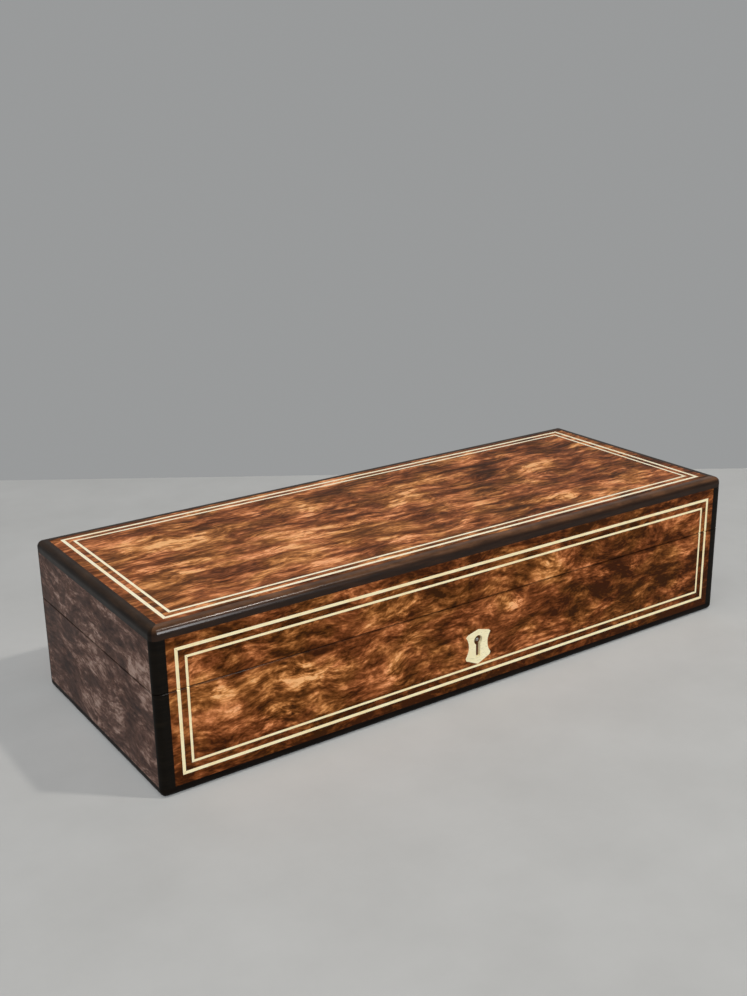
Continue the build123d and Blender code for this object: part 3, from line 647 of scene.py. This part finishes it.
def lining_panels(node, body):
    """Four silk-covered panels in the place of the plain lining."""
    low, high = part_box(node)
    gap = PANEL_GAP
    long_half = high.x - gap
    short_half = high.y - PANEL_CORNER_ROOM
    right, back = Vector((1, 0, 0)), Vector((0, 1, 0))
    shape = bmesh.new()
    sides = {
        "front": (Vector((0, low.y + gap, 0)), right, back, long_half),
        "back": (Vector((0, high.y - gap, 0)), right, -back, long_half),
        "left": (Vector((low.x + gap, 0, 0)), back, right, short_half),
        "right": (Vector((high.x - gap, 0, 0)), back, -right, short_half),
    }
    for side, (start, along, inwards, half) in sides.items():
        outline = [(-half, low.z), (half, low.z), (half, high.z), (-half, high.z)]
        if side == "front" and body == "base":
            left, right_side = -LOCK_WINDOW, LOCK_WINDOW
            notch = [(right_side, high.z), (right_side, LOCK_SILL), (left, LOCK_SILL), (left, high.z)]
            outline[3:3] = notch
        corners = [shape.verts.new(start + along * u + Vector((0, 0, v))) for u, v in outline]
        face = shape.faces.new(corners)
        grown = bmesh.ops.extrude_face_region(shape, geom=[face])
        pushed = [item for item in grown["geom"] if isinstance(item, bmesh.types.BMVert)]
        bmesh.ops.translate(shape, vec=inwards * PANEL_THICK, verts=pushed)
    bmesh.ops.recalc_face_normals(shape, faces=shape.faces)
    bmesh.ops.bevel(
        shape,
        geom=shape.edges[:],
        offset=PANEL_ROUND,
        segments=3,
        profile=0.5,
        affect="EDGES",
        material=-1,
    )
    piece = add_piece(f"{body}_silk_walls", shape, body, silk_finish)
    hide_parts(node)
    print(piece.name, len(piece.data.polygons), "faces")
    return piece


lining_panels("base_wall_linings", "base")
lining_panels("lid_wall_linings", "lid")

# %% [markdown]
# ## Quilted pads
#
# The floor and the lid each have a pad of wadding covered with silk and quilted in diamonds. A
# pad starts as a rounded block, is remeshed into small even faces, and is then blown up as cloth:
# the side that lies on wood and the stitched lines are pinned, so the silk swells only between
# them. The cloth is let out a little as well, which puckers it along the stitches as real silk
# does. Then the movement is capped, so the pad keeps to the room it has, the stitches are drawn
# in, and one subdivision smooths it.

# %% Pad helpers
DIAMONDS_LONG = 9
DIAMONDS_WIDE = 3
PAD_THICK = 3.9 * MM
PAD_MARGIN = 1.4 * MM
PAD_ROUND = 1.5 * MM
EVEN_FACE = 2.2 * MM
GLUED_RISE = 1.6 * MM  # below this the pad is glued down and can't swell
STITCH_REACH = 1.1 * MM
SWELL_PRESSURE = 90
SWELL_STEPS = 20
SWELL_LIMIT = 1.3 * MM
TOP_RISE = 2.2 * MM
STITCH_WIDTH = 1.5 * MM
STITCH_DEPTH = 0.9 * MM


def seam_distance(place, size):
    """Distance in metres from the nearest of the two sets of slanting quilting lines."""
    across = place.x / (size.x / DIAMONDS_LONG)
    up = place.y / (size.y / DIAMONDS_WIDE)
    rising = abs((across + up) - round(across + up))
    falling = abs((across - up) - round(across - up))
    return min(rising, falling) * (size.y / DIAMONDS_WIDE) / math.sqrt(2)


def settled_copy(piece, modifier):
    """Apply one live modifier to the piece's mesh."""
    depsgraph = bpy.context.evaluated_depsgraph_get()
    mesh = bpy.data.meshes.new_from_object(piece.evaluated_get(depsgraph))
    piece.modifiers.remove(modifier)
    piece.data = mesh


def quilted_pad(name, node, body, faces_up):
    """A diamond-quilted silk pad in the room of a plain soft solid."""
    low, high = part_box(node)
    room = high - low
    side = 1 if faces_up else -1
    flat_z = low.z if faces_up else high.z
    block = (room.x - PAD_MARGIN, room.y - PAD_MARGIN, PAD_THICK)
    middle_z = flat_z + side * (PAD_THICK / 2 + 0.1 * MM)
    shape = bmesh.new()
    bmesh.ops.create_cube(shape, size=1)
    bmesh.ops.scale(shape, vec=block, verts=shape.verts)
    bmesh.ops.translate(shape, vec=(0, 0, middle_z), verts=shape.verts)
    bmesh.ops.bevel(
        shape,
        geom=shape.edges[:],
        offset=PAD_ROUND,
        segments=3,
        profile=0.5,
        affect="EDGES",
        material=-1,
    )
    pad = add_piece(name, shape, body, silk_finish)
    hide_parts(node)

    remesh = pad.modifiers.new("even_faces", "REMESH")
    remesh.mode = "VOXEL"
    remesh.voxel_size = EVEN_FACE
    settled_copy(pad, remesh)

    stitched = pad.vertex_groups.new(name="stitched")
    for vertex in pad.data.vertices:
        rise = side * (vertex.co.z - flat_z)
        if rise < GLUED_RISE or seam_distance(vertex.co, room) < STITCH_REACH:
            stitched.add([vertex.index], 1.0, "REPLACE")

    before = [vertex.co.copy() for vertex in pad.data.vertices]
    cloth = pad.modifiers.new("swell", "CLOTH")
    cloth.settings.use_pressure = True
    cloth.settings.uniform_pressure_force = SWELL_PRESSURE
    cloth.settings.mass = 0.02
    cloth.settings.shrink_min = -0.025
    cloth.settings.vertex_group_mass = "stitched"
    cloth.settings.effector_weights.gravity = 0
    cloth.collision_settings.use_collision = False
    for step in range(1, SWELL_STEPS + 1):
        bpy.context.scene.frame_set(step)
    settled_copy(pad, cloth)
    bpy.context.scene.frame_set(1)
    for vertex, start in zip(pad.data.vertices, before):
        move = vertex.co - start
        if move.length > SWELL_LIMIT:
            vertex.co = start + move.normalized() * SWELL_LIMIT

    for vertex in pad.data.vertices:
        rise = side * (vertex.co.z - flat_z)
        if rise > TOP_RISE:
            crown = math.exp(-((seam_distance(vertex.co, room) / STITCH_WIDTH) ** 2))
            vertex.co.z -= side * STITCH_DEPTH * crown
        for axis in (0, 1):
            limit = room[axis] / 2 - 0.15 * MM
            vertex.co[axis] = max(-limit, min(limit, vertex.co[axis]))
        vertex.co.z = max(low.z + 0.05 * MM, min(high.z - 0.05 * MM, vertex.co.z))
    smooth = pad.modifiers.new("smooth", "SUBSURF")
    smooth.levels = 1
    smooth.render_levels = 1
    pad.data.materials.clear()
    pad.data.materials.append(silk_finish)
    pad.data.shade_smooth()
    print(name, len(pad.data.vertices), "points before the subdivision")
    return pad


quilted_pad("base_quilted_pad", "base_floor_pad", "base", True)
quilted_pad("lid_quilted_pad", "lid_pad", "lid", False)


# %% [markdown]
# ## Buttons on the lid pad
#
# Where the quilting lines cross, the lid pad is held by small covered buttons: a card disc with
# silk drawn over it. A loop makes one flattened sphere at each crossing, all in one mesh.


# %% Buttons
BUTTON_RADIUS = 2.6 * MM
BUTTON_FLATNESS = 0.42
BUTTON_RISE = 3.3 * MM


def pad_buttons(name, node, body, faces_up):
    """A covered button at each inner crossing of the quilting lines."""
    low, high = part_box(node)
    room = high - low
    side = 1 if faces_up else -1
    flat_z = low.z if faces_up else high.z
    shape = bmesh.new()
    count = 0
    for twice_across in range(-DIAMONDS_LONG + 1, DIAMONDS_LONG):
        for twice_up in range(-DIAMONDS_WIDE + 1, DIAMONDS_WIDE):
            if (twice_across + twice_up) % 2:
                continue
            x = twice_across / 2 * room.x / DIAMONDS_LONG
            y = twice_up / 2 * room.y / DIAMONDS_WIDE
            made = bmesh.ops.create_uvsphere(shape, u_segments=16, v_segments=8, radius=BUTTON_RADIUS)
            bmesh.ops.scale(shape, vec=(1, 1, BUTTON_FLATNESS), verts=made["verts"])
            bmesh.ops.translate(shape, vec=(x, y, flat_z + side * BUTTON_RISE), verts=made["verts"])
            count += 1
    piece = add_piece(name, shape, body, silk_finish)
    print(name, count, "buttons")
    return piece


pad_buttons("lid_pad_buttons", "lid_pad", "lid", False)

# %% [markdown]
# ## Baize under the foot
#
# The underside is covered with one piece of wool baize, glued flat. It is a thin sheet, built
# with the size it is cut to.


# %% Baize sheet
def baize_sheet():
    """One glued piece of baize with rounded corners."""
    low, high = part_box("base_baize")
    size = high - low
    shape = bmesh.new()
    bmesh.ops.create_cube(shape, size=1)
    bmesh.ops.scale(shape, vec=size, verts=shape.verts)
    bmesh.ops.translate(shape, vec=(low + high) / 2, verts=shape.verts)
    upright = [edge for edge in shape.edges if abs(edge.verts[0].co.z - edge.verts[1].co.z) > size.z / 2]
    bmesh.ops.bevel(
        shape,
        geom=upright,
        offset=1.5 * MM,
        segments=4,
        profile=0.5,
        affect="EDGES",
        material=-1,
    )
    piece = add_piece("base_baize_sheet", shape, "base", baize_finish)
    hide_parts("base_baize")
    print("baize cut", round(size.x, 4), "x", round(size.y, 4), "m,", round(size.z * 1000, 2), "mm thick")
    return piece


baize_sheet()

# %% [markdown]
# ## Floor
#
# The box stands on a plain pale floor that ends a little way behind it, with a plain grey beyond.
# The floor is one face, turned so that its far edge runs square to the camera's heading.

# %% Floor
FLOOR_BEHIND = 0.806  # how far in front of the camera the floor ends
FLOOR_HALF_WIDTH = 3
FLOOR_FORWARD = 4
heading = Vector((math.sin(math.radians(CAMERA_HEADING)), math.cos(math.radians(CAMERA_HEADING)), 0))
sideways = Vector((heading.y, -heading.x, 0))
far_edge = Vector((CAMERA_PLACE.x, CAMERA_PLACE.y, 0)) + heading * FLOOR_BEHIND

floor_mesh = bpy.data.meshes.new("floor")
shape = bmesh.new()
corners = [
    far_edge + sideways * FLOOR_HALF_WIDTH,
    far_edge - sideways * FLOOR_HALF_WIDTH,
    far_edge - sideways * FLOOR_HALF_WIDTH - heading * FLOOR_FORWARD,
    far_edge + sideways * FLOOR_HALF_WIDTH - heading * FLOOR_FORWARD,
]
shape.faces.new([shape.verts.new(c) for c in reversed(corners)])
shape.normal_update()
shape.to_mesh(floor_mesh)
shape.free()
floor = bpy.data.objects.new("floor", floor_mesh)
bpy.context.scene.collection.objects.link(floor)


def floor_finish():
    """Pale matt floor with the faintest clouding."""
    finish, tree, shader = start_finish("floor")
    place = put(tree, "ShaderNodeTexCoord", {}).outputs["Object"]
    cloud = noise(tree, place, 60, (1, 1, 1), 6.0, 0.6).outputs["Fac"]
    stops = [(0.3, (0.47, 0.465, 0.45)), (0.7, (0.52, 0.515, 0.50))]
    tree.links.new(ramp(tree, cloud, stops), shader.inputs["Base Color"])
    shader.inputs["Roughness"].default_value = 0.8
    shader.inputs["Specular IOR Level"].default_value = 0.15
    return finish


floor.data.materials.append(floor_finish())
print("floor", 2 * FLOOR_HALF_WIDTH, "x", FLOOR_FORWARD, "m")

# %% [markdown]
# ## Light
#
# Three rectangular lamps shine at the box. The small key lamp, high on the right of the front, casts
# the shadow that has a readable edge. The wide lamp overhead softens it, and is kept out of the
# reflections. The tall window lamp works the other way round: it shows in the polish, but lights
# nothing directly. Two weak lights from far away lift the front and the back evenly and cast no
# shadow. The grey room is seen and reflected, and gives no diffuse light.


# %% Light
def lamp(name, place, wide, high, watts, colour=(1, 1, 1)):
    """A soft rectangular lamp at a place, shining at the box."""
    data = bpy.data.lights.new(name, "AREA")
    data.shape = "RECTANGLE"
    data.size = wide
    data.size_y = high
    data.energy = watts
    data.color = colour
    made = bpy.data.objects.new(name, data)
    made.location = place
    made.rotation_euler = (-Vector(place)).to_track_quat("-Z", "Y").to_euler()
    bpy.context.scene.collection.objects.link(made)
    return made


lamp("key_lamp", (0.41, -0.55, 1.1), 0.06, 0.06, 4.2, (1.0, 0.96, 0.9))
sky_lamp = lamp("sky_lamp", (-0.55, -0.4, 1.3), 1.2, 1.2, 7.2)
sky_lamp.visible_glossy = False
window_lamp = lamp("window_lamp", (0.335, -1.37, 0.44), 0.2, 0.8, 11.0)
window_lamp.visible_diffuse = False


def even_light(name, direction, strength, colour):
    """Weak light from one side over the whole floor; it casts no shadow and shows in no polish."""
    data = bpy.data.lights.new(name, "SUN")
    data.energy = strength
    data.color = colour
    data.angle = math.radians(40)
    data.use_shadow = False
    made = bpy.data.objects.new(name, data)
    made.rotation_euler = (-Vector(direction)).to_track_quat("-Z", "Y").to_euler()
    made.visible_glossy = False
    bpy.context.scene.collection.objects.link(made)
    return made


even_light("front_fill", (-0.6, -1.1, 0.58), 1.98, (0.92, 0.96, 1.0))
even_light("back_fill", (0.75, 1.1, 0.8), 1.25, (0.94, 0.97, 1.0))

ROOM_GREY = (0.318, 0.324, 0.326, 1)
world = bpy.data.worlds.new("grey_room")
bpy.context.scene.world = world
world.use_nodes = True
background = world.node_tree.nodes["Background"]
background.inputs["Color"].default_value = ROOM_GREY
background.inputs["Strength"].default_value = 1.0
world.cycles_visibility.diffuse = False
bpy.context.scene.view_settings.view_transform = "Standard"
print(len(bpy.data.lights), "lights")
